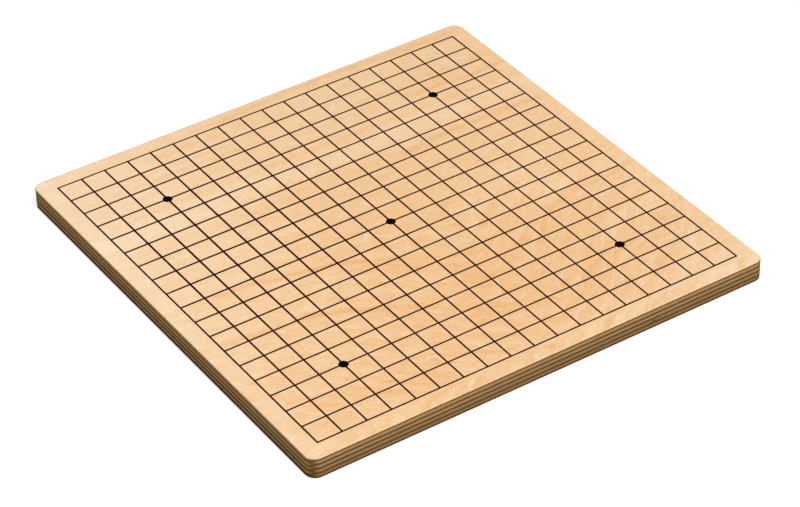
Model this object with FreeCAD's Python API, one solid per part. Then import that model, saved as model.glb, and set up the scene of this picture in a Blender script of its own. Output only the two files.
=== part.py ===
import FreeCAD, Part
import os

# A go board cut from one sheet of nine-ply birch plywood. Nine veneers lie crosswise on each other with a
# film of resin between each two. The corners are rounded, the top and bottom edges are sanded round, and
# nineteen lines each way and five star points are printed in black on the top face veneer.
#
# The origin is the middle of the underside, +Z points up to the playing surface, and +X runs along the
# grain of the two face veneers.

# ---- driving dimensions, in millimetres ----
BOARD_SIDE = 275.0
PANEL_THICKNESS = 12.0
CORNER_RADIUS = 6.0     # of the four corners, seen from above
ARRIS_RADIUS = 0.8      # of the sanded top and bottom edges
PLY_COUNT = 9
GLUE_THICKNESS = 0.1    # of one cured resin film
LINE_COUNT = 19
GRID_MARGIN = 10.5      # from the board's side to the middle of the outermost line
LINE_WIDTH = 1.0
STAR_DIAMETER = 5.3
STAR_LINE = 3           # the corner stars stand this many lines in from the outermost line
INK_THICKNESS = 0.05    # how far the print stands proud of the wood

# ---- sizes that follow ----
PLY_THICKNESS = (PANEL_THICKNESS - (PLY_COUNT - 1) * GLUE_THICKNESS) / PLY_COUNT
LAYER_RISE = PLY_THICKNESS + GLUE_THICKNESS
GRID_SPAN = BOARD_SIDE - 2 * GRID_MARGIN
CELL_COUNT = LINE_COUNT - 1
LINE_PITCH = GRID_SPAN / CELL_COUNT

UP = FreeCAD.Vector(0, 0, 1)
SAME_PLACE = 1e-4       # two heights or lengths closer than this are the same


def line_place(index):
    """Where a line crosses its axis. Lines are counted from 0 at the low side."""
    return index * LINE_PITCH - GRID_SPAN / 2


def square_wire(side, height, centre_x=0.0, centre_y=0.0):
    """A sharp-cornered square outline that lies flat at the given height."""
    half = side / 2
    turns = [(-1, -1), (1, -1), (1, 1), (-1, 1), (-1, -1)]
    corners = [FreeCAD.Vector(centre_x + x * half, centre_y + y * half, height) for x, y in turns]
    return Part.makePolygon(corners)


def board_sheet(bottom, thickness):
    """A sheet with the board's outline: a square whose four upright corners are rounded."""
    block = Part.Face(square_wire(BOARD_SIDE, bottom)).extrude(UP * thickness)
    upright = [e for e in block.Edges if abs(e.Length - thickness) < SAME_PLACE]
    return block.makeFillet(CORNER_RADIUS, upright)


def ease_arris(sheet, height):
    """Rounds the outline of a sheet along its face at the given height, as sanding does."""
    spans = [(e, e.BoundBox) for e in sheet.Edges]
    outline = [e for e, box in spans if max(abs(box.ZMin - height), abs(box.ZMax - height)) < SAME_PLACE]
    return sheet.makeFillet(ARRIS_RADIUS, outline)


def layer_names():
    """The veneers' names from the underside up. Core veneers and glue films are numbered from the top."""
    cores = [f"core_veneer_{number}" for number in range(PLY_COUNT - 2, 0, -1)]
    return ["bottom_face_veneer"] + cores + ["top_face_veneer"]


def build_panel():
    """The nine veneers and the eight glue films between them."""
    nodes = {}
    for level, name in enumerate(layer_names()):
        nodes[name] = board_sheet(level * LAYER_RISE, PLY_THICKNESS)
    for level in range(PLY_COUNT - 1):
        film_bottom = level * LAYER_RISE + PLY_THICKNESS
        nodes[f"glue_film_{PLY_COUNT - 1 - level}"] = board_sheet(film_bottom, GLUE_THICKNESS)
    nodes["bottom_face_veneer"] = ease_arris(nodes["bottom_face_veneer"], 0.0)
    nodes["top_face_veneer"] = ease_arris(nodes["top_face_veneer"], PANEL_THICKNESS)
    return nodes


def star_discs():
    """The five star points: one in each corner of the grid and one in the middle of the board."""
    near, middle, far = STAR_LINE, CELL_COUNT // 2, CELL_COUNT - STAR_LINE
    crossings = [(near, near), (far, near), (near, far), (far, far), (middle, middle)]
    centres = [FreeCAD.Vector(line_place(i), line_place(j), PANEL_THICKNESS) for i, j in crossings]
    return [Part.makeCylinder(STAR_DIAMETER / 2, INK_THICKNESS, centre) for centre in centres]


def line_lattice():
    """All the lines as one film: a square sheet with a window for each cell between the lines."""
    outside = square_wire(GRID_SPAN + LINE_WIDTH, PANEL_THICKNESS)
    middles = [line_place(index) + LINE_PITCH / 2 for index in range(CELL_COUNT)]
    windows = [square_wire(LINE_PITCH - LINE_WIDTH, PANEL_THICKNESS, x, y) for x in middles for y in middles]
    film = Part.makeFace([outside] + windows, "Part::FaceMakerBullseye")
    return film.extrude(UP * INK_THICKNESS)


def build_print():
    """The print on the top veneer: the lines stop at the rims of the star points."""
    stars = star_discs()
    return {"grid_lines": line_lattice().cut(stars), "star_points": Part.makeCompound(stars)}


def main():
    os.makedirs("parts", exist_ok=True)
    nodes = build_panel() | build_print()
    for name, shape in nodes.items():
        shape.exportStep(f"parts/{name}.step")
        print(f"{name}: {len(shape.Solids)} solid(s), {shape.Volume:.1f} mm3, valid {shape.isValid()}")


main()
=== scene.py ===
import math
import bpy
from mathutils import Matrix, Vector


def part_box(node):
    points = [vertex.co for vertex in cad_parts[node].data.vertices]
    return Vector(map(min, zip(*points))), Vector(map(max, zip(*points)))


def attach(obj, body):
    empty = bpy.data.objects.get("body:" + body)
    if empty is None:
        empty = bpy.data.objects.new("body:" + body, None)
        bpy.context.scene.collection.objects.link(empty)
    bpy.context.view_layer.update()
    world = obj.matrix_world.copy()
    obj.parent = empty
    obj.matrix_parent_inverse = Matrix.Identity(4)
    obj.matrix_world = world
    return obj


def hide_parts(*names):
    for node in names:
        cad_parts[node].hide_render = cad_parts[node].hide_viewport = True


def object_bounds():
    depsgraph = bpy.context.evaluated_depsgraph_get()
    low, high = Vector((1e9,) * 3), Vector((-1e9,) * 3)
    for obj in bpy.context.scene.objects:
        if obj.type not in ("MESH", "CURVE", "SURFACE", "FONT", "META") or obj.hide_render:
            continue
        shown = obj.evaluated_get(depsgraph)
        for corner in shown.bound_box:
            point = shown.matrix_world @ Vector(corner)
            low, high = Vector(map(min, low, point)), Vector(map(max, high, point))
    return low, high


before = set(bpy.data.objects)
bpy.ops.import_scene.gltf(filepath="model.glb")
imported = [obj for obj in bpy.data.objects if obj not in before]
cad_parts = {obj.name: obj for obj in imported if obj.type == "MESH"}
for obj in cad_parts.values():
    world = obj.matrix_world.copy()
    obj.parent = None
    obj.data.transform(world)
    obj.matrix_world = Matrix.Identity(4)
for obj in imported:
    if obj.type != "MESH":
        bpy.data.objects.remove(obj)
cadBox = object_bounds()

quarterTurn = math.pi / 2
cmPerMetre = 100.0        # the materials are worked out in centimetres
mergeDistance = 0.000001
nudge = 0.0001            # keeps a whole number from being floored to the one below it


class Wire:
    # one socket: Python arithmetic on it adds the maths nodes to its tree
    def __init__(self, socket):
        self.socket = socket
        self.tree = socket.id_data

    def __add__(self, other):
        return work("ADD", self, other)

    def __radd__(self, other):
        return work("ADD", other, self)

    def __sub__(self, other):
        return work("SUBTRACT", self, other)

    def __rsub__(self, other):
        return work("SUBTRACT", other, self)

    def __mul__(self, other):
        return work("MULTIPLY", self, other)

    def __rmul__(self, other):
        return work("MULTIPLY", other, self)

    def __truediv__(self, other):
        return work("DIVIDE", self, other)

    def __rtruediv__(self, other):
        return work("DIVIDE", other, self)

    def __pow__(self, other):
        return work("POWER", self, other)

    def __rpow__(self, other):
        return work("POWER", other, self)

    def __neg__(self):
        return work("MULTIPLY", self, -1.0)

    def __abs__(self):
        return work("ABSOLUTE", self)

    def __gt__(self, other):
        return work("GREATER_THAN", self, other)

    def __lt__(self, other):
        return work("LESS_THAN", self, other)


def isVector(term):
    if isinstance(term, Wire):
        return term.socket.type in {"VECTOR", "RGBA"}
    return isinstance(term, tuple)


def plug(slot, value):
    if isinstance(value, Wire):
        slot.id_data.links.new(value.socket, slot)
    elif value is not None:
        slot.default_value = value


def work(operation, *terms):
    tree = next(term.tree for term in terms if isinstance(term, Wire))
    vectors = any(isVector(term) for term in terms)
    node = tree.nodes.new("ShaderNodeVectorMath" if vectors else "ShaderNodeMath")
    node.operation = operation
    for slot, term in zip(node.inputs, terms):
        isLoneNumber = vectors and isinstance(term, (int, float))
        plug(slot, (term, term, term) if isLoneNumber else term)
    return Wire(node.outputs[0])


def floor(wire):
    return work("FLOOR", wire)


def sine(wire):
    return work("SINE", wire)


def cosine(wire):
    return work("COSINE", wire)


def between(wire, low, high):
    return work("MINIMUM", work("MAXIMUM", wire, low), high)


def bell(distance, width):
    away = distance / width
    return work("EXPONENT", -(away * away))


class Bench:
    # puts nodes into one tree: put() sets a node's settings first and then feeds its sockets
    def __init__(self, tree):
        self.tree = tree

    def put(self, kind, settings=None, sockets=None, out=0):
        node = self.tree.nodes.new(kind)
        for name, value in (settings or {}).items():
            if name == "stops":
                layStops(node.color_ramp, value)
            elif name == "ease":
                node.color_ramp.interpolation = value
            else:
                setattr(node, name, value)
        for name, value in (sockets or {}).items():
            plug(node.inputs[name], value)
        return Wire(node.outputs[out]) if node.outputs else None

    def point(self, x=0.0, y=0.0, z=0.0):
        return self.put("ShaderNodeCombineXYZ", None, {"X": x, "Y": y, "Z": z})

    def axes(self, vector):
        whole = self.put("ShaderNodeSeparateXYZ", None, {"Vector": vector})
        return [Wire(output) for output in whole.socket.node.outputs]

    def fade(self, value, low, high, toLow=0.0, toHigh=1.0):
        # runs smoothly from toLow to toHigh while the value goes from low to high
        return self.put("ShaderNodeMapRange", {"interpolation_type": "SMOOTHSTEP"}, {
            "Value": value,
            "From Min": low,
            "From Max": high,
            "To Min": toLow,
            "To Max": toHigh,
        })

    def noise(self, place, scale, detail=2.0, roughness=0.5, seed=0.0):
        return self.put("ShaderNodeTexNoise", {"noise_dimensions": "4D"}, {
            "Vector": place,
            "W": seed,
            "Scale": scale,
            "Detail": detail,
            "Roughness": roughness,
        })

    def noiseLine(self, way, scale, detail=2.0, roughness=0.5):
        sockets = {"W": way, "Scale": scale, "Detail": detail, "Roughness": roughness}
        return self.put("ShaderNodeTexNoise", {"noise_dimensions": "1D"}, sockets)

    def grain(self, layer, *axes, seed=0.0):
        # noise centred on nought; a layer is the stretch of what it reads, detail, roughness, seed
        stretch, detail, roughness, ownSeed = layer
        place = self.point(*[axis * factor for axis, factor in zip(axes, stretch)])
        return self.noise(place, 1.0, detail, roughness, ownSeed + seed) - 0.5

    def distance(self, first, second):
        settings = {"operation": "DISTANCE"}
        return self.put("ShaderNodeVectorMath", settings, {0: first, 1: second}, out=1)

    def tint(self, amount, first, second):
        # sockets 0, 6 and 7 are the colour mix's factor and its two colours
        sockets = {0: amount, 6: first, 7: second}
        return self.put("ShaderNodeMix", {"data_type": "RGBA"}, sockets, out=2)

    def bump(self, height, distance):
        sockets = {"Strength": 1.0, "Distance": distance, "Height": height}
        return self.put("ShaderNodeBump", None, sockets)


def layStops(ramp, stops):
    while len(ramp.elements) > 1:
        ramp.elements.remove(ramp.elements[-1])
    ramp.elements[0].position = stops[0][0]
    ramp.elements[0].color = (*stops[0][1], 1.0)
    for position, colour in stops[1:]:
        ramp.elements.new(position).color = (*colour, 1.0)


# sizes that the pieces share, in metres, read off the CAD parts where they can be
lineWidth = 0.001
starLine = 3
lineCount = 19
cornerRadius = 0.006
arris = 0.0008          # the eased edge above
lowerArris = 0.00048    # and below
boardSide = cadBox[1].x - cadBox[0].x
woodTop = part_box("top_face_veneer")[1].z
plyCount = 9
plyStep = woodTop / plyCount
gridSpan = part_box("grid_lines")[1].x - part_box("grid_lines")[0].x - lineWidth
pitch = gridSpan / (lineCount - 1)
starSpread = pitch * (lineCount - 1 - 2 * starLine)
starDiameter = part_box("star_points")[1].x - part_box("star_points")[0].x - starSpread
discSteps = 96  # straight pieces round a star point
print("board", round(boardSide, 4), "pitch", round(pitch, 6), "star", round(starDiameter, 5))


def openTree(name, inputs):
    # a geometry tree with named inputs, each given as its kind and its value
    tree = bpy.data.node_groups.new(name, "GeometryNodeTree")
    for label, (kind, value) in inputs.items():
        socket = tree.interface.new_socket(label, in_out="INPUT", socket_type="NodeSocket" + kind)
        if value is not None:
            socket.default_value = value
    tree.interface.new_socket("Geometry", in_out="OUTPUT", socket_type="NodeSocketGeometry")
    given = tree.nodes.new("NodeGroupInput")
    return Bench(tree), {output.name: Wire(output) for output in given.outputs if output.name}


def closeTree(bench, geometry, material):
    # every tree ends with real, painted geometry
    real = bench.put("GeometryNodeRealizeInstances", None, {"Geometry": geometry})
    painted = bench.put("GeometryNodeSetMaterial", None, {"Geometry": real, "Material": material})
    result = bench.tree.nodes.new("NodeGroupOutput")
    plug(result.inputs[0], painted)
    return bench.tree


def growPiece(name, tree, values):
    # the tree runs on an empty mesh, and the plain mesh that comes out is the piece
    seed = bpy.data.objects.new(name + "Seed", bpy.data.meshes.new(name + "Seed"))
    bpy.context.scene.collection.objects.link(seed)
    modifier = seed.modifiers.new("grow", "NODES")
    modifier.node_group = tree
    inputs = [item for item in tree.interface.items_tree if item.in_out == "INPUT"]
    sockets = {item.name: item.identifier for item in inputs}
    for label, value in values.items():
        modifier[sockets[label]] = value
    graph = bpy.context.evaluated_depsgraph_get()
    mesh = bpy.data.meshes.new_from_object(seed.evaluated_get(graph), depsgraph=graph)
    mesh.name = name
    mesh.materials.clear()
    mesh.materials.append(values["Material"])
    mesh.polygons.foreach_set("material_index", [0] * len(mesh.polygons))
    seed.modifiers.clear()
    bpy.data.objects.remove(seed)
    piece = bpy.data.objects.new(name, mesh)
    bpy.context.scene.collection.objects.link(piece)
    print("grown:", name, len(mesh.polygons), "faces")
    return piece


def gridPlace(bench, perColumn):
    # a grid's points are numbered up each column in turn, so the number gives column and row
    index = bench.put("GeometryNodeInputIndex")
    column = floor(index / perColumn + nudge)
    return column, index - column * perColumn


def buildSheetTree():
    # A square sheet with rounded corners. The columns of its grid run once round the outline.
    # The rows run from the middle of the underside, out and up the edge, and in to the middle
    # of the top.
    bench, given = openTree("roundedSheet", {
        "Side": ("Float", 0.1),
        "Corner Radius": ("Float", 0.006),
        "Lower Arris": ("Float", 0.0001),
        "Upper Arris": ("Float", 0.0001),
        "Bottom": ("Float", 0.0),
        "Thickness": ("Float", 0.001),
        "Set Back": ("Float", 0.0),
        "Relief": ("Float", 0.0),
        "Relief Scale": ("Float", 400.0),
        "Chip Depth": ("Float", 0.0),
        "Chip Scale": ("Float", 180.0),
        "Chip Start": ("Float", 0.66),  # where in its noise the wood starts to be torn
        "Chip Slope": ("Float", 9.0),
        "Pit Place": ("Vector", (0.0, 0.0, 0.0)),
        "Pit Radius": ("Float", 0.001),
        "Pit Depth": ("Float", 0.0),
        "Rim": ("Float", 0.0004),       # an outer ring of each face that keeps its shading flat
        "Corner Steps": ("Int", 12),
        "Side Steps": ("Int", 100),
        "Arris Steps": ("Int", 2),
        "Wall Steps": ("Int", 4),
        "Seed": ("Float", 0.0),
        "Material": ("Material", None),
    })
    cornerSteps, sideSteps = given["Corner Steps"], given["Side Steps"]
    arrisSteps, wallSteps = given["Arris Steps"], given["Wall Steps"]
    lower, upper = given["Lower Arris"], given["Upper Arris"]
    lidRows = 2  # at each end of a column: the middle of a face and its rim
    perColumn = arrisSteps * 2 + wallSteps + (lidRows * 2 + 1)
    perSide = cornerSteps + sideSteps
    around = perSide * 4 + 1
    grid = bench.put("GeometryNodeMeshGrid", None, {"Vertices X": around, "Vertices Y": perColumn})
    column, row = gridPlace(bench, perColumn)

    # the edge in section: how far in and how high each row lies
    step = row - lidRows
    lowTurn = between(step / arrisSteps, 0.0, 1.0) * quarterTurn
    rise = between((step - arrisSteps) / wallSteps, 0.0, 1.0)
    highTurn = between((step - arrisSteps - wallSteps) / arrisSteps, 0.0, 1.0) * quarterTurn
    inset = lower * (1.0 - sine(lowTurn)) + upper * (1.0 - cosine(highTurn))
    wallHeight = (given["Thickness"] - lower - upper) * rise
    height = given["Bottom"] + lower * (1.0 - cosine(lowTurn)) + wallHeight + upper * sine(highTurn)
    isLid = (row < lidRows - 0.5) + (row > perColumn - (lidRows + 0.5))
    isMiddle = (row < 0.5) + (row > perColumn - 1.5)
    inset = inset + isLid * given["Rim"]

    # the outline from above: each of the four quarters is a corner and then a straight side
    quarter = floor(column / perSide + nudge)
    along = column - quarter * perSide
    bend = between(along / cornerSteps, 0.0, 1.0) * quarterTurn
    run = between((along - cornerSteps) / sideSteps, 0.0, 1.0)
    turned = quarter * quarterTurn
    straight = given["Side"] / 2.0 - given["Corner Radius"]

    def outlinePlace(radius):
        x = straight - straight * run * 2.0 + radius * cosine(bend)
        y = straight + radius * sine(bend)
        aroundX = x * cosine(turned) - y * sine(turned)
        aroundY = x * sine(turned) + y * cosine(turned)
        return bench.point(aroundX, aroundY, height)

    sharp = outlinePlace(given["Corner Radius"] - inset)
    wear = bench.noise(sharp, given["Relief Scale"], detail=2.0, roughness=0.6, seed=given["Seed"])
    torn = bench.noise(sharp, given["Chip Scale"], detail=1.0, seed=given["Seed"] + 50.0)
    isTorn = between((torn - given["Chip Start"]) * given["Chip Slope"], 0.0, 1.0)
    pit = bell(bench.distance(sharp, given["Pit Place"]), given["Pit Radius"]) * given["Pit Depth"]
    loss = given["Set Back"] + given["Relief"] * between(wear, 0.0, 1.0)
    loss = loss + isTorn * given["Chip Depth"] + pit
    worn = inset + (1.0 - isLid) * loss

    # the middle row of each face is drawn together in one point
    spread = 1.0 - isMiddle * bench.point(1.0, 1.0, 0.0)
    place = outlinePlace(given["Corner Radius"] - worn) * spread
    shaped = bench.put("GeometryNodeSetPosition", None, {"Geometry": grid, "Position": place})
    sockets = {"Geometry": shaped, "Distance": mergeDistance}
    closed = bench.put("GeometryNodeMergeByDistance", None, sockets)
    sockets = {"Geometry": closed, "Shade Smooth": True}
    smooth = bench.put("GeometryNodeSetShadeSmooth", None, sockets)
    return closeTree(bench, smooth, given["Material"])


def starPlaces(bench, spread, height):
    # of a grid of nine places, the five whose column and row add up to an even number
    perRow = 3
    sockets = {"Size X": spread, "Size Y": spread, "Vertices X": perRow, "Vertices Y": perRow}
    grid = bench.put("GeometryNodeMeshGrid", None, sockets)
    column, row = gridPlace(bench, perRow)
    half = (column + row) / 2.0
    isOdd = (half - floor(half + nudge)) > 0.25
    sockets = {"Geometry": grid, "Selection": isOdd}
    five = bench.put("GeometryNodeDeleteGeometry", {"domain": "POINT"}, sockets)
    sockets = {"Geometry": five, "Offset": bench.point(0.0, 0.0, height)}
    return bench.put("GeometryNodeSetPosition", None, sockets)


def buildStarTree(sheetTree):
    bench, given = openTree("starDiscs", {
        "Diameter": ("Float", 0.005),
        "Spread": ("Float", 0.17),
        "Bottom": ("Float", 0.0),
        "Thickness": ("Float", 0.00005),
        "Base Round": ("Float", 0.000002),
        "Rim Round": ("Float", 0.00002),
        "Material": ("Material", None),
    })
    disc = bench.put("GeometryNodeGroup", {"node_tree": sheetTree}, {
        "Side": given["Diameter"],
        "Corner Radius": given["Diameter"] / 2.0,
        "Lower Arris": given["Base Round"],
        "Upper Arris": given["Rim Round"],
        "Bottom": given["Bottom"],
        "Thickness": given["Thickness"],
        "Corner Steps": discSteps // 4,
        "Side Steps": 1,
        "Arris Steps": 3,
        "Wall Steps": 1,
    })
    discs = bench.put("GeometryNodeInstanceOnPoints", None, {
        "Points": starPlaces(bench, given["Spread"], 0.0),
        "Instance": disc,
    })
    return closeTree(bench, discs, given["Material"])


def buildPrintTree():
    # a grid with two columns and two rows of points for each line, less the cells between them
    bench, given = openTree("printedGrid", {
        "Span": ("Float", 0.25),
        "Line Count": ("Int", 19),
        "Line Width": ("Float", 0.0008),
        "Bottom": ("Float", 0.0),
        "Thickness": ("Float", 0.00005),
        "Heavier": ("Float", 0.0),
        "Heavy Place": ("Vector", (0.0, 0.0, 0.0)),
        "Heavy Reach": ("Float", 0.1),
        "Wander": ("Float", 0.0),
        "Wander Scale": ("Float", 100.0),
        "Cuts": ("Int", 2),
        "Star Diameter": ("Float", 0.005),
        "Star Spread": ("Float", 0.17),
        "Material": ("Material", None),
    })
    count, halfSpan = given["Line Count"], given["Span"] / 2.0
    perColumn = count * 2
    sockets = {"Vertices X": perColumn, "Vertices Y": perColumn}
    flat = bench.put("GeometryNodeMeshGrid", None, sockets)
    column, row = gridPlace(bench, perColumn)
    cell = given["Span"] / (count - 1.0)

    # the inner lines are a little heavier round one place
    columnLine, rowLine = floor(column / 2.0 + nudge), floor(row / 2.0 + nudge)
    crossing = bench.point(columnLine, rowLine) * cell - bench.point(halfSpan, halfSpan)
    fromHeavy = bench.distance(crossing, given["Heavy Place"])
    heavier = bell(fromHeavy, given["Heavy Reach"]) * given["Heavier"]

    def across(number, line):
        isInner = (line > 0.5) * (line < count - 1.5)
        width = given["Line Width"] * (1.0 + isInner * heavier)
        side = number - line * 2.0 - 0.5
        return line * cell - halfSpan + side * width

    place = bench.point(across(column, columnLine), across(row, rowLine), given["Bottom"])
    laid = bench.put("GeometryNodeSetPosition", None, {"Geometry": flat, "Position": place})

    # faces that lie off every line are the cells
    def offLine(distance):
        lines = (distance + halfSpan) / cell
        return abs(lines - floor(lines + 0.5)) * cell

    x, y, _ = bench.axes(bench.put("GeometryNodeInputPosition"))
    isCell = work("MINIMUM", offLine(x), offLine(y)) > given["Line Width"] * 2.0
    sockets = {"Geometry": laid, "Selection": isCell}
    lattice = bench.put("GeometryNodeDeleteGeometry", {"domain": "FACE"}, sockets)
    fine = bench.put("GeometryNodeSubdivideMesh", None, {"Mesh": lattice, "Level": given["Cuts"]})

    # the edges of a print wander a little
    here = bench.put("GeometryNodeInputPosition")
    wanderX = bench.noise(here, given["Wander Scale"], roughness=0.6, seed=1.0) - 0.5
    wanderY = bench.noise(here, given["Wander Scale"], roughness=0.6, seed=7.0) - 0.5
    shift = bench.point(wanderX, wanderY, 0.0) * given["Wander"]
    inked = bench.put("GeometryNodeSetPosition", None, {"Geometry": fine, "Offset": shift})
    lift = bench.point(0.0, 0.0, given["Thickness"])
    top = bench.put("GeometryNodeExtrudeMesh", None, {
        "Mesh": inked,
        "Offset": lift,
        "Offset Scale": 1.0,
        "Individual": False,
    })
    base = bench.put("GeometryNodeFlipFaces", None, {"Mesh": inked})
    both = bench.put("GeometryNodeJoinGeometry", None, {"Geometry": top})
    plug(both.socket.node.inputs[0], base)
    sockets = {"Geometry": both, "Distance": mergeDistance}
    film = bench.put("GeometryNodeMergeByDistance", None, sockets)

    # the star points are printed apart, so the lines stop at their rims
    punch = bench.put("GeometryNodeMeshCylinder", None, {
        "Vertices": discSteps,
        "Radius": given["Star Diameter"] / 2.0,
        "Depth": given["Thickness"] * 4.0,
    })
    punches = bench.put("GeometryNodeInstanceOnPoints", None, {
        "Points": starPlaces(bench, given["Star Spread"], given["Bottom"]),
        "Instance": punch,
    })
    punched = bench.put("GeometryNodeMeshBoolean", {"operation": "DIFFERENCE", "solver": "EXACT"}, {
        "Mesh 1": film,
        "Mesh 2": bench.put("GeometryNodeRealizeInstances", None, {"Geometry": punches}),
    })
    return closeTree(bench, punched, given["Material"])


def openMaterial(name):
    material = bpy.data.materials.new(name)
    material.use_nodes = True
    material.node_tree.nodes.clear()
    bench = Bench(material.node_tree)
    place = bench.put("ShaderNodeTexCoord", None, None, out=3)  # Object coordinates
    return material, bench, place


def closeMaterial(bench, colour, roughness, normal, constants, coat=None):
    # constants go straight on the shader's own sockets
    shader = bench.put("ShaderNodeBsdfPrincipled", None, constants)
    plug(shader.socket.node.inputs["Coat Weight"], coat)
    plug(shader.socket.node.inputs["Base Color"], colour)
    plug(shader.socket.node.inputs["Roughness"], roughness)
    plug(shader.socket.node.inputs["Normal"], normal)
    bench.put("ShaderNodeOutputMaterial", None, {"Surface": shader})


def fromOutline(bench, place):
    # how far a point lies inside the board's outline, and how much its edge faces along X and Y
    x, y, _ = bench.axes(place)
    straight = boardSide / 2.0 - cornerRadius
    outX = work("MAXIMUM", abs(x) - straight, 0.0)
    outY = work("MAXIMUM", abs(y) - straight, 0.0)
    reach = work("MAXIMUM", (outX * outX + outY * outY) ** 0.5, 0.00001)
    return cornerRadius - reach, (outX / reach) ** 2.0, (outY / reach) ** 2.0


# In the materials' dictionaries lengths are in centimetres, unless a note says otherwise.
edgeGrain = {  # layers of noise: stretch of what they read, detail, roughness, seed
    "patches": ((0.6, 0.6, 2.3), 3.0, 0.55, 2.0),
    "rays": ((30.0, 30.0, 4.0), 2.0, 0.6, 5.0),
    "pores": ((95.0, 95.0, 57.0), 1.0, 0.5, 570.0),
    "fibres": ((0.9, 0.9, 42.0), 3.0, 0.6, 8.0),
    "strands": ((1.4, 1.4, 110.0), 2.0, 0.6, 9.0),
    "blush": ((0.45, 0.45, 3.1), 2.0, 0.5, 11.0),
}
alongEdge = {  # plies with their grain along X
    "endGrain": (0.343, 0.215, 0.097, 1.0),      # pale: the cut ends of the fibres
    "longGrain": (0.120, 0.059, 0.017, 1.0),     # dark: fibres running along the edge
    "longGrainLow": (0.119, 0.057, 0.016, 1.0),  # the same, in the lower half
    "lowBlend": (0.80, 0.42),                    # between these heights one turns into the other
    "endBlend": (0.15, 0.85),                    # the same round the corners, for ends and sides
    "bottomShade": 0.90,                         # what light is left near the underside
    "rimShade": 0.45,                            # and along its very rim
    "rimBlend": (0.01, 0.07),
    "browning": 0.25,                            # how brown the lowest plies get
    "brownFrom": 0.7,
    "brown": (1.0, 0.90, 0.78, 1.0),
    "cornerShade": 0.44,                         # the turned corners are darker
    "cornerBrown": 0.8,                          # and browner
    "plyTone": 0.18,                             # difference from one ply to the next
    "patches": 0.30,
    "rays": 0.14,
    "pores": 0.34,
    "poreMask": (0.08, 0.18),
    "blush": 0.40,                               # reddish and yellowish places along a ply
    "fibres": 0.40,
    "strands": 0.12,
    "strandMask": (-0.06, 0.06),
    "nearGlue": 0.55,                            # long fibres are paler beside the glue
    "glueReach": (0.30, 0.05),                   # as shares of a ply's thickness
    "rayRelief": 0.5,
    "poreRelief": 0.6,
    "roughness": 0.62,
    "rayRoughness": 0.16,
    "bumpHeight": 0.00005,                       # in metres
    "shader": {"Specular IOR Level": 0.0},       # sawn and unsealed: no shine
}
acrossEdge = {  # plies with their grain along Y
    **alongEdge,
    "endGrain": (0.336, 0.208, 0.102, 1.0),
    "longGrain": (0.163, 0.081, 0.019, 1.0),
    "longGrainLow": (0.115, 0.053, 0.006, 1.0),
    "bottomShade": 0.60,
    "browning": 0.5,
}
topEdge = {  # the face veneers' own edges
    **alongEdge,
    "endGrain": (0.325, 0.197, 0.088, 1.0),
    "longGrain": (0.172, 0.081, 0.0195, 1.0),
}
# the underside veneer's edge: a copy of the ply edge painted darker, as shade under the board
underEdgeInShade = {
    **alongEdge,
    "endGrain": (0.20, 0.12, 0.05, 1.0),
    "longGrain": (0.075, 0.032, 0.006, 1.0),
    "longGrainLow": (0.075, 0.032, 0.006, 1.0),
}
knot = {  # a small dark knot, cut through in the front edge
    "place": (0.0659, -boardSide / 2.0, 0.0041),  # in metres
    "halfWidth": 0.16,
    "halfHeight": 0.055,
    "depth": (-13.0, -13.6),
    "strength": 0.75,
    "colour": (0.055, 0.030, 0.014, 1.0),
}


def darkenKnot(bench, x, y, z, colour):
    knotX, _, knotZ = knot["place"]
    aside = bell(x - knotX * cmPerMetre, knot["halfWidth"])
    above = bell(z - knotZ * cmPerMetre, knot["halfHeight"])
    isFront = bench.fade(y, *knot["depth"])
    return bench.tint(aside * above * isFront * knot["strength"], colour, knot["colour"])


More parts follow.
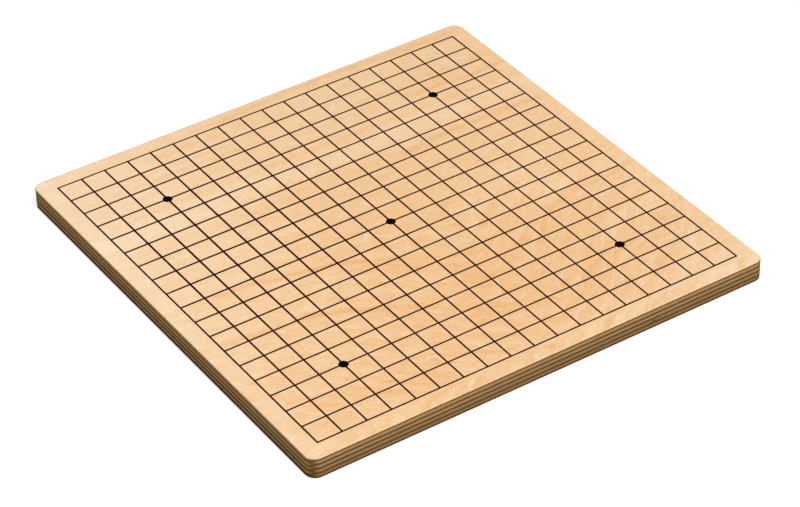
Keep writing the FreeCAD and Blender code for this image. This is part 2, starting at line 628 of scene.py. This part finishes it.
def edgeFinish(bench, place, grainWay, values):
    # colour, roughness and height of a ply's sawn edge
    x, y, z = bench.axes(place * cmPerMetre)
    _, facingX, facingY = fromOutline(bench, place)
    isEnd = bench.fade(facingX if grainWay == "X" else facingY, *values["endBlend"])
    isLong = 1.0 - isEnd
    isTurned = (facingX * facingY * 4.0) ** 2.0
    level = z / (plyStep * cmPerMetre)
    ply = floor(level)
    inPly = level - ply

    # rays and pores on the cut ends
    rays = bench.grain(edgeGrain["rays"], x, y, z)
    pores = bench.fade(bench.grain(edgeGrain["pores"], x, y, z), *values["poreMask"])
    endTone = 1.0 + rays * values["rays"] - pores * values["pores"]

    # long fibres on the sides, with pale strands beside the glue
    fibres = bench.grain(edgeGrain["fibres"], x, y, z)
    strands = bench.fade(bench.grain(edgeGrain["strands"], x, y, z), *values["strandMask"])
    fromGlue = work("MINIMUM", inPly, 1.0 - inPly)
    nearGlue = bench.fade(fromGlue, *values["glueReach"]) * (0.3 + strands * 1.4)
    longTone = 1.0 + fibres * values["fibres"] + nearGlue * values["nearGlue"]
    longTone = longTone + (strands - 0.5) * values["strands"]

    # broad patches, and less light low down and at the corners
    patches = bench.grain(edgeGrain["patches"], x, y, ply)
    plyTone = bench.noiseLine(ply * 1.7 + 3.3, 1.0, 0.0) - 0.5
    shade = bench.fade(z, 0.0, 1.0, values["bottomShade"], 1.0)
    shade = shade * bench.fade(z, *values["rimBlend"], values["rimShade"], 1.0)
    shade = shade * (1.0 + plyTone * values["plyTone"]) * (1.0 - isTurned * values["cornerShade"])
    tone = (endTone * isEnd + longTone * isLong) * (1.0 + patches * values["patches"]) * shade

    isLow = bench.fade(z, *values["lowBlend"])
    longGrain = bench.tint(isLow, values["longGrain"], values["longGrainLow"])
    colour = bench.tint(isEnd, longGrain, values["endGrain"]) * tone
    browning = bench.fade(z, values["brownFrom"], 0.0, 0.0, values["browning"])
    browning = browning + isTurned * values["cornerBrown"]
    colour = colour * bench.tint(browning, (1.0, 1.0, 1.0, 1.0), values["brown"])
    blush = 1.0 + bench.grain(edgeGrain["blush"], x, y, ply) * values["blush"]
    colour = darkenKnot(bench, x, y, z, colour * bench.point(1.0, blush, blush))
    roughness = values["roughness"] + rays * values["rayRoughness"] - pores * 0.05
    endHeight = rays * values["rayRelief"] - pores * values["poreRelief"]
    return colour, roughness, endHeight * isEnd + fibres * isLong


topFigure = {
    "seed": 0.0,
    "troughX": 1.98,           # the rings dip here
    "troughLeft": 7.2,
    "troughRight": 4.4,
    "troughDepth": 5.4,
    "troughFrom": 7.1,         # the dip starts here and is whole at troughTo
    "troughTo": -9.9,
    "calmFrom": 8.0,           # behind this the figure is calm
    "livelyTo": -6.0,          # and in front of this it is lively
    "calm": 0.06,              # what is left of the liveliness at the back
    "waves": 1.1,
    "slant": 0.85,             # how steeply the streaks run down to the dip
    "slantWander": 3.0,
    "strip": (-12.2, -13.0),   # the front margin
    "stripTurn": (-12.3, -13.1, 0.0, 15.0),  # from there on the streaks all rise to the right
    "streakEnds": 2.0,         # streaks fade in and out over this length
    "streaks": [               # ring height, half width, from x, to x, strength
        (13.25, 0.18, -4.0, 14.0, 0.75),
        (12.1, 0.30, -9.0, -2.0, 0.4),
        (10.85, 0.08, -10.0, -1.0, 0.6),
        (10.2, 0.08, -10.0, 0.0, 0.5),
        (9.05, 0.13, 6.0, 16.0, 1.1),
        (7.85, 0.16, -12.0, 14.0, 0.6),
        (4.9, 0.14, 2.5, 14.0, 0.8),
        (-0.15, 0.20, -13.0, -1.6, 0.82),
        (-3.9, 0.24, -14.0, 3.0, 0.75),
        (-3.2, 0.20, 4.0, 14.0, 0.8),
        (-6.6, 0.35, -3.0, 9.0, 0.6),
    ],
    "paleBand": (6.65, 0.75, 0.85),
    "shadows": [               # x, y, half width, half depth, and how dark or, below 0, light
        (-9.5, -12.0, 4.5, 2.5, 0.13),
        (-9.0, -5.0, 3.0, 2.5, 0.07),
        (8.0, -8.5, 3.5, 3.0, 0.10),
        (-4.9, -0.7, 1.6, 1.4, 0.10),
        (-0.7, 3.5, 1.8, 1.2, -0.07),
        (7.8, -0.7, 1.8, 1.4, -0.05),
    ],
    "washes": [                # paler along an axis: axis, from, to, how much
        ("y", -9.0, 2.0, 0.04),
        ("y", -10.5, -13.3, 0.11),
        ("x", -12.2, -13.4, 0.09),
    ],
    "backFrom": -12.0,         # the next two grow from here to backTo
    "backTo": 6.0,
    # painted sheen: paler towards the left at the back and darker towards the right
    "paintedSheenBack": [
        ("x", 1.0, -13.0, 0.15),
        ("x", 4.0, 12.0, -0.08),
    ],
    # x, half width, from y, to y, strength at the one and at the other
    "warmMiddle": (-0.5, 10.0, 12.0, 1.0, 0.04, 0.20),
    "nick": (-12.91, 13.66),   # a small dent in the back edge
    "nickSize": (0.10, 0.07),
    "nickStrength": 0.7,
    "nickColour": (0.30, 0.15, 0.09, 1.0),
}
underFigure = {
    **topFigure,
    "seed": 40.0,
    "troughX": -3.0,
    "troughLeft": 4.0,
    "troughRight": 7.5,
    "troughDepth": 4.0,
    "streaks": topFigure["streaks"][2:6],
    "paleBand": (-5.0, 0.9, 0.8),
    "nick": None,
}

faceGrain = {  # layers of noise: stretch of what they read, detail, roughness, seed
    "sway": ((0.10, 0.30), 2.0, 0.5, 1.0),
    "waves": ((0.65, 0.35), 2.0, 0.5, 2.0),
    "broad": ((0.10, 0.35), 3.0, 0.6, 3.0),
    "fibres": ((0.55, 7.0), 3.0, 0.65, 4.0),
    "hairs": ((2.2, 38.0), 2.0, 0.6, 5.0),
    "swirl": ((0.50, 0.45), 1.0, 0.35, 6.0),
    "curlField": ((0.55, 0.65), 1.0, 0.5, 7.0),
    "pores": ((6.0, 55.0), 1.0, 0.5, 8.0),
    "mottle": ((0.75, 1.3), 3.0, 0.6, 9.0),
    "strokes": ((0.9, 5.5), 2.0, 0.55, 10.0),
    "drift": ((0.25, 0.4), 2.0, 0.5, 11.0),
    "wander": ((0.22, 0.30), 2.0, 0.5, 12.0),
    "streaking": ((0.30, 1.1), 2.0, 0.5, 13.0),
    "strokeField": ((0.5, 0.5), 1.0, 0.5, 14.0),
    "grain": ((2.4, 5.2), 3.0, 0.7, 15.0),
    "grit": ((3.5, 8.0), 1.0, 0.6, 16.0),
}
faceWood = {
    "stops": [
        (0.00, (0.702, 0.370, 0.140)),
        (0.25, (0.735, 0.443, 0.218)),
        (0.50, (0.764, 0.514, 0.301)),
        (0.75, (0.787, 0.581, 0.380)),
        (1.00, (0.808, 0.641, 0.456)),
    ],
    "bandLine": (0.55, 4.0, 0.6),  # how many to a centimetre, detail, roughness
    "bands": 0.225,
    "broad": 0.27,
    "fibres": 0.21,
    "hairs": 0.22,
    "rings": 0.10,
    "ringsPerCm": 1.15,
    "mottle": 0.27,
    "mottleLean": (0.4, 0.2308),
    "streaking": 0.60,         # soft streaks that slant down to the dip of the rings
    "stripStreaking": 0.54,    # more of them in the front margin
    "strokes": 0.45,           # fine ones between them
    "strokeMask": (-0.10, 0.10),
    "streakTone": 0.22,        # for the listed streaks
    "bandTone": 0.20,
    "brokenUp": 0.3,           # how much the fibres break those up
    "curls": 0.42,
    "curlMask": (-0.06, 0.08),
    "curlFront": (-7.0, -10.0, 0.0, 0.05),  # more of them in front
    "curlBack": (0.1, 0.6, 0.08, 1.0),      # and few in the calm part
    "curlShade": 0.12,
    "curlShadeMask": (-0.12, 0.02),
    "curlsPerCm": 0.80,
    "curlSwirl": 3.3,
    "curlWidth": 0.040,
    "pores": 0.20,
    "poreMask": (0.12, 0.24),
    "flecks": 0.3,
    "fleckMask": (0.07, 0.02),
    "fleckSpread": (0.28, 0.6),
    "depth": 0.26,             # of the finest light and dark
    "gritLean": (0.8, 0.75),
    "warmth": (0.06, 0.12),    # how far green and blue drift over the face
    # painted light: the face is painted brighter at the left as a sheen, and darker at the right
    # and in front
    "paintedLightAcross": (-13.0, 13.0, 1.004, 0.972),  # brightness at the left and at the right
    "paintedLightFront": (-2.0, -12.0, 1.0, 0.980),    # and in front
    "edgeBlend": (0.00045, 0.00008),       # in metres inside the outline
    "roughness": 0.46,
    "fibreRelief": 0.25,
    "hairRelief": 0.35,
    "poreRelief": 0.5,
    "edgeRelief": 2.5,
    "bumpHeight": 0.00002,     # in metres
    "sealing": 0.22,           # the thin coat on the face ends at the eased edge
    "shader": {"Specular IOR Level": 0.04, "Coat Roughness": 0.38},
}


def leaning(x, y, slopes):
    return x + y * slopes[0], y - x * slopes[1]


def readRings(bench, x, y, figure):
    # level lines of this height are the growth rings: straight at the back, dipping in front
    aside = x - figure["troughX"]
    isRight = aside > 0.0
    width = figure["troughLeft"] + isRight * (figure["troughRight"] - figure["troughLeft"])
    depth = bench.fade(y, figure["troughFrom"], figure["troughTo"], 0.0, figure["troughDepth"])
    sway = bench.grain(faceGrain["sway"], x, y, seed=figure["seed"])
    waves = bench.grain(faceGrain["waves"], x, y, seed=figure["seed"])
    unrest = bench.fade(y, figure["calmFrom"], figure["livelyTo"], figure["calm"], 1.0)
    return y + bell(aside, width) * depth + (sway + waves * unrest) * figure["waves"], unrest


def readSlant(bench, x, y, figure, unrest):
    # level lines of this height fall to the dip from both sides
    aside = x - figure["troughX"] + bench.fade(y, *figure["stripTurn"])
    fall = (aside * aside + 1.5) ** 0.5
    wander = bench.grain(faceGrain["wander"], x, y, seed=figure["seed"])
    return y + (wander * figure["slantWander"] - fall * figure["slant"]) * unrest


def layStreaks(bench, x, ring, fibres, figure, values):
    # brown streaks and one pale band, listed one by one, each broken up by the fibres
    tone = 0.0
    ends = figure["streakEnds"]
    for height, width, start, end, strength in figure["streaks"]:
        run = bench.fade(x, start, start + ends) * bench.fade(x, end, end - ends)
        broken = values["streakTone"] + fibres * values["brokenUp"]
        tone = tone - bell(ring - height, width) * run * strength * broken
    height, width, strength = figure["paleBand"]
    broken = values["bandTone"] + fibres * values["brokenUp"]
    return tone + bell(ring - height, width) * strength * broken


def layWashesAndSheen(bench, x, y, figure):
    # soft darker and lighter places, and a painted sheen towards the back left
    axes = {"x": x, "y": y}
    backwards = bench.fade(y, figure["backFrom"], figure["backTo"])
    tone = 0.0
    for midX, midY, halfWidth, halfDepth, strength in figure["shadows"]:
        tone = tone - bell(x - midX, halfWidth) * bell(y - midY, halfDepth) * strength
    for axis, start, end, rise in figure["washes"]:
        tone = tone + bench.fade(axes[axis], start, end, 0.0, rise)
    # the painted sheen, strongest at the back
    for axis, start, end, rise in figure["paintedSheenBack"]:
        tone = tone + bench.fade(axes[axis], start, end, 0.0, rise) * backwards
    midX, halfWidth, start, end, atStart, atEnd = figure["warmMiddle"]
    return tone - bell(x - midX, halfWidth) * bench.fade(y, start, end, atStart, atEnd)


def layCurls(bench, x, y, slant, unrest, figure, values):
    # thin pale curls on the slant, each with a soft step of tone beside it
    seed = figure["seed"]
    swirl = bench.grain(faceGrain["swirl"], x, y, seed=seed)
    field = bench.grain(faceGrain["curlField"], x, y, seed=seed)
    field = field + bench.fade(y, *values["curlFront"])
    level = slant * values["curlsPerCm"] + swirl * values["curlSwirl"]
    offLevel = abs(level - floor(level + 0.5))
    mask = bench.fade(field, *values["curlMask"]) * bench.fade(unrest, *values["curlBack"])
    curls = bench.fade(offLevel, values["curlWidth"], 0.0) * mask
    step = (level - floor(level) - 0.5) * bench.fade(field, *values["curlShadeMask"])
    return curls, curls * values["curls"] - step * unrest * values["curlShade"]


def mixFace(name, figure, values, edgeValues):
    material, bench, place = openMaterial(name)
    x, y, _ = bench.axes(place * cmPerMetre)
    ring, unrest = readRings(bench, x, y, figure)
    slant = readSlant(bench, x, y, figure, unrest)

    def grain(layer, across, along):
        return bench.grain(faceGrain[layer], across, along, seed=figure["seed"])

    # bands and fine fibres follow the rings
    bands = bench.noiseLine(ring + figure["seed"] * 9.0, *values["bandLine"]) - 0.5
    broad = grain("broad", x, ring)
    fibres = grain("fibres", x, ring)
    hairs = grain("hairs", x, ring)
    tone = 0.5 + bands * values["bands"] + broad * values["broad"]
    tone = tone + fibres * values["fibres"] + hairs * values["hairs"]

    # each ring darkens slowly and ends in a pale step
    saw = ring * values["ringsPerCm"] + broad * 0.6
    saw = saw - floor(saw)
    tone = tone + (0.35 - saw) * values["rings"] * bench.fade(broad, -0.1, 0.1, 0.2, 1.0)

    # mottling, and streaks and strokes on the slant
    mottle = grain("mottle", *leaning(x, y, values["mottleLean"]))
    inStrip = bench.fade(y, *figure["strip"])
    streaking = values["streaking"] + inStrip * values["stripStreaking"]
    strokes = bench.fade(grain("strokeField", x, y), *values["strokeMask"]) * values["strokes"]
    slanting = grain("streaking", x, slant) * streaking + grain("strokes", x, slant) * strokes
    tone = tone + mottle * values["mottle"] + slanting * unrest

    tone = tone + layStreaks(bench, x, ring, fibres, figure, values)
    tone = tone + layWashesAndSheen(bench, x, y, figure)
    curls, curlTone = layCurls(bench, x, y, slant, unrest, figure, values)
    tone = tone + curlTone

    # short dark pores along the grain, and a few rust-coloured flecks
    pores = bench.fade(grain("pores", x, ring), *values["poreMask"])
    spreadX, spreadY = values["fleckSpread"]
    speckle = bench.put("ShaderNodeTexVoronoi", {"voronoi_dimensions": "3D"}, {
        "Vector": bench.point(x * spreadX, y * spreadY, figure["seed"]),
        "Scale": 1.0,
        "Randomness": 1.0,
    })
    flecks = bench.fade(speckle + fibres * 0.15, *values["fleckMask"])
    tone = tone - pores * values["pores"] - flecks * values["flecks"]

    settings = {"stops": values["stops"], "ease": "LINEAR"}
    colour = bench.put("ShaderNodeValToRGB", settings, {"Fac": between(tone, 0.0, 1.0)})
    grit = grain("grit", *leaning(x, y, values["gritLean"]))
    # painted light: the face colour is brighter at the left and darker at the right and in front
    paintedLightTone = bench.fade(x, *values["paintedLightAcross"]) * bench.fade(y, *values["paintedLightFront"])
    depth = (grain("grain", x, ring) + grit + mottle * 0.35) * values["depth"]
    drift = grain("drift", x, y)
    green, blue = [1.0 + drift * warmth for warmth in values["warmth"]]
    colour = colour * (paintedLightTone + depth) * bench.point(1.0, green, blue)

    if figure["nick"]:
        nickX, nickY = figure["nick"]
        halfWidth, halfDepth = figure["nickSize"]
        nick = bell(x - nickX, halfWidth) * bell(y - nickY, halfDepth)
        colour = bench.tint(nick * figure["nickStrength"], colour, figure["nickColour"])

    # over the eased edge the face gives way to the ply's own sawn edge
    inside, _, _ = fromOutline(bench, place)
    isEdge = bench.fade(inside, *values["edgeBlend"])
    isFace = 1.0 - isEdge
    edgeColour, edgeRoughness, edgeHeight = edgeFinish(bench, place, "X", edgeValues)
    colour = bench.tint(isEdge, colour, edgeColour)
    faceRoughness = values["roughness"] - fibres * 0.12 - curls * 0.06 + pores * 0.1
    roughness = faceRoughness * isFace + edgeRoughness * isEdge
    faceHeight = fibres * values["fibreRelief"] + hairs * values["hairRelief"]
    faceHeight = faceHeight - pores * values["poreRelief"]
    height = faceHeight * isFace + edgeHeight * values["edgeRelief"] * isEdge
    bump = bench.bump(height, values["bumpHeight"])
    closeMaterial(bench, colour, roughness, bump, values["shader"], isFace * values["sealing"])
    return material


def mixEdge(name, grainWay, values):
    material, bench, place = openMaterial(name)
    colour, roughness, height = edgeFinish(bench, place, grainWay, values)
    bump = bench.bump(height, values["bumpHeight"])
    closeMaterial(bench, colour, roughness, bump, values["shader"])
    return material


resinMix = {
    "dark": (0.120, 0.064, 0.024, 1.0),
    "amber": (0.210, 0.118, 0.046, 1.0),
    "runs": ((3.0, 3.0, 20.0), 3.0, 0.6, 1.0),
    "beadScale": 1800.0,     # for places in metres, as is the bump height
    "bumpHeight": 0.00002,
    "shader": {"Specular IOR Level": 0.5},
}


def mixResin(name, values):
    material, bench, place = openMaterial(name)
    runs = bench.grain(values["runs"], *bench.axes(place * cmPerMetre))
    beads = bench.noise(place, values["beadScale"], detail=1.0, seed=2.0)
    colour = bench.tint(bench.fade(runs, -0.15, 0.15), values["dark"], values["amber"])
    bump = bench.bump(beads, values["bumpHeight"])
    closeMaterial(bench, colour, 0.5 + runs * 0.3, bump, values["shader"])
    return material


starInk = {
    "solid": (0.0030, 0.0016, 0.0010, 1.0),
    "thin": (0.008, 0.004, 0.003, 1.0),
    "cloudScale": 90.0,      # for places in metres, as are the next two
    "toothScale": 2600.0,
    "bumpHeight": 0.000015,
    "shader": {"Specular IOR Level": 0.0},
}
lineInk = {
    **starInk,
    "solid": (0.025, 0.0045, 0.0015, 1.0),
    "thin": (0.048, 0.014, 0.006, 1.0),  # a thin line lets some of the wood's brown through
}


def mixInk(name, values):
    material, bench, place = openMaterial(name)
    clouds = bench.noise(place, values["cloudScale"], detail=3.0, roughness=0.6, seed=3.0)
    tooth = bench.noise(place, values["toothScale"], detail=2.0, roughness=0.6, seed=4.0)
    isThin = bench.fade(clouds + tooth * 0.3, 0.62, 0.85)
    colour = bench.tint(isThin, values["solid"], values["thin"])
    bump = bench.bump(tooth, values["bumpHeight"])
    closeMaterial(bench, colour, 0.5 + tooth * 0.25, bump, values["shader"])
    return material


birchFace = mixFace("birchFace", topFigure, faceWood, topEdge)
birchUnder = mixFace("birchUnderside", underFigure, faceWood, underEdgeInShade)
edgeAlong = mixEdge("birchEdgeAlong", "X", alongEdge)
edgeAcross = mixEdge("birchEdgeAcross", "Y", acrossEdge)
resin = mixResin("glueResin", resinMix)
starPrint = mixInk("starInk", starInk)
linePrint = mixInk("lineInk", lineInk)
print("materials are mixed")


sheetTree = buildSheetTree()
starTree = buildStarTree(sheetTree)
printTree = buildPrintTree()


def layDown(name, tree, values, node):
    # each piece stands for one CAD node
    piece = growPiece(name, tree, values)
    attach(piece, "root")
    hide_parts(node)


def sheetBetween(node):
    low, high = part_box(node)
    return {"Bottom": low.z, "Thickness": high.z - low.z}


veneer = {
    "Side": boardSide,
    "Corner Radius": cornerRadius,
    "Lower Arris": 0.00002,    # barely broken where the next layer covers it
    "Upper Arris": 0.00002,
    "Relief": 0.00003,
    "Relief Scale": 700.0,
    "Chip Depth": 0.00008,
    "Chip Scale": 230.0,
    "Pit Place": knot["place"],
    "Pit Radius": 0.0010,
    "Pit Depth": 0.0004,
    "Corner Steps": 20,
    "Side Steps": 330,
}
faceVeneer = {
    **veneer,
    "Arris Steps": 7,
    "Pit Place": (topFigure["nick"][0] / cmPerMetre, boardSide / 2.0, woodTop),
}
resinFilm = {
    **veneer,
    "Lower Arris": 0.00001,
    "Upper Arris": 0.00001,
    "Set Back": 0.00003,
    "Wall Steps": 1,
    "Arris Steps": 1,
    "Material": resin,
}

for name, outerArris, width, finish in (
    ("top_face_veneer", "Upper Arris", arris, birchFace),
    ("bottom_face_veneer", "Lower Arris", lowerArris, birchUnder),
):
    values = {**faceVeneer, **sheetBetween(name), outerArris: width, "Material": finish}
    layDown(name + "_finish", sheetTree, values, name)
for number in range(1, plyCount - 1):
    name = "core_veneer_%d" % number
    isAcross = number % 2 == 1
    values = {**veneer, **sheetBetween(name), "Seed": float(number)}
    values["Material"] = edgeAcross if isAcross else edgeAlong
    layDown(name + "_finish", sheetTree, values, name)
for number in range(1, plyCount):
    name = "glue_film_%d" % number
    values = {**resinFilm, **sheetBetween(name), "Seed": 20.0 + number}
    layDown(name + "_finish", sheetTree, values, name)

inkLow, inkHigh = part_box("grid_lines")
printed = {
    "Span": gridSpan,
    "Line Count": lineCount,
    "Line Width": lineWidth,
    "Bottom": inkLow.z,
    "Thickness": inkHigh.z - inkLow.z,
    "Heavier": 0.24,
    "Heavy Place": (-0.085, 0.035, 0.0),
    "Heavy Reach": 0.085,
    "Wander": 0.00004,
    "Wander Scale": 150.0,
    "Cuts": 2,
    "Star Diameter": starDiameter,
    "Star Spread": starSpread,
    "Material": linePrint,
}
layDown("grid_lines_finish", printTree, printed, "grid_lines")
stars = {
    "Diameter": starDiameter,
    "Spread": starSpread,
    "Bottom": inkLow.z,
    "Thickness": inkHigh.z - inkLow.z,
    "Rim Round": 0.00002,
    "Material": starPrint,
}
layDown("star_points_finish", starTree, stars, "star_points")


camera = {
    "place": (-0.6957, -1.0719, 0.9467),
    "azimuth": 33.18,  # this angle and the next two in degrees
    "elevation": 36.79,
    "roll": -1.34,
    "lens": 137.11,
    "sensor": 36.0,
}


def placeCamera(values):
    data = bpy.data.cameras.new("camera")
    data.lens = values["lens"]
    data.sensor_width = values["sensor"]
    data.sensor_fit = "HORIZONTAL"
    data.clip_start = 0.01
    body = bpy.data.objects.new("camera", data)
    bpy.context.scene.collection.objects.link(body)
    swing = Matrix.Rotation(-math.radians(values["azimuth"]), 4, "Z")
    nod = Matrix.Rotation(quarterTurn - math.radians(values["elevation"]), 4, "X")
    roll = Matrix.Rotation(math.radians(values["roll"]), 4, "Z")
    body.matrix_world = Matrix.Translation(values["place"]) @ swing @ nod @ roll
    bpy.context.scene.camera = body


stageFloor = {
    "reach": 3.0,
    "lip": 0.0018,   # how far the floor reaches in under the board
    "drop": 0.00002,
    "steps": 8,
    "pale": (0.21, 0.21, 0.21, 1.0),
    "dull": (0.19, 0.19, 0.19, 1.0),
    "glow": 0.86,
}


def placeFloor(values):
    # the floor is open under the board, so the underside can be looked at from below
    straight = boardSide / 2.0 - cornerRadius
    radius = cornerRadius - values["lip"]
    steps, reach, drop = values["steps"], values["reach"], -values["drop"]
    signs = ((1, 1), (-1, 1), (-1, -1), (1, -1))
    points = [(reach * signX, reach * signY, drop) for signX, signY in signs]
    faces = []
    for quarter, (signX, signY) in enumerate(signs):
        first = len(points)
        for step in range(steps + 1):
            angle = (quarter + step / steps) * quarterTurn
            x = straight * signX + radius * math.cos(angle)
            y = straight * signY + radius * math.sin(angle)
            points.append((x, y, drop))
        faces += [(first + step, quarter, first + step + 1) for step in range(steps)]
        following = first + steps + 1 if quarter < 3 else 4
        faces.append((first + steps, quarter, (quarter + 1) % 4, following))
    mesh = bpy.data.meshes.new("floor")
    mesh.from_pydata(points, [], faces)
    floorPiece = bpy.data.objects.new("floor", mesh)
    bpy.context.scene.collection.objects.link(floorPiece)
    material, bench, place = openMaterial("paperFloor")
    tooth = bench.noise(place, 40.0)
    paper = bench.tint(tooth, values["pale"], values["dull"])
    constants = {
        "Specular IOR Level": 0.0,
        "Emission Color": (1.0, 1.0, 1.0, 1.0),
        "Emission Strength": values["glow"],
    }
    closeMaterial(bench, paper, 0.8 + tooth * 0.1, None, constants)
    mesh.materials.append(material)


lamps = {
    "key": {"place": (0.30, -2.35, 4.40), "size": 1.6, "power": 305.0},
    "under": {"place": (0.50, -0.70, -1.70), "size": 1.2, "power": 34.0},
}
roomLight = 0.18


def placeLamp(name, values):
    # a round soft lamp that looks at the middle of the board
    data = bpy.data.lights.new(name, "AREA")
    data.shape = "DISK"
    data.size = values["size"]
    data.energy = values["power"]
    lamp = bpy.data.objects.new(name, data)
    lamp.location = values["place"]
    lamp.rotation_euler = (-Vector(values["place"])).to_track_quat("-Z", "Y").to_euler()
    bpy.context.scene.collection.objects.link(lamp)


def lightRoom(strength):
    world = bpy.data.worlds.new("room")
    world.use_nodes = True
    background = world.node_tree.nodes["Background"]
    background.inputs["Color"].default_value = (1.0, 1.0, 1.0, 1.0)
    background.inputs["Strength"].default_value = strength
    bpy.context.scene.world = world
    bpy.context.scene.view_settings.view_transform = "Standard"


placeCamera(camera)
placeFloor(stageFloor)
for lampName, lampValues in lamps.items():
    placeLamp(lampName, lampValues)
lightRoom(roomLight)
print("stage is set")
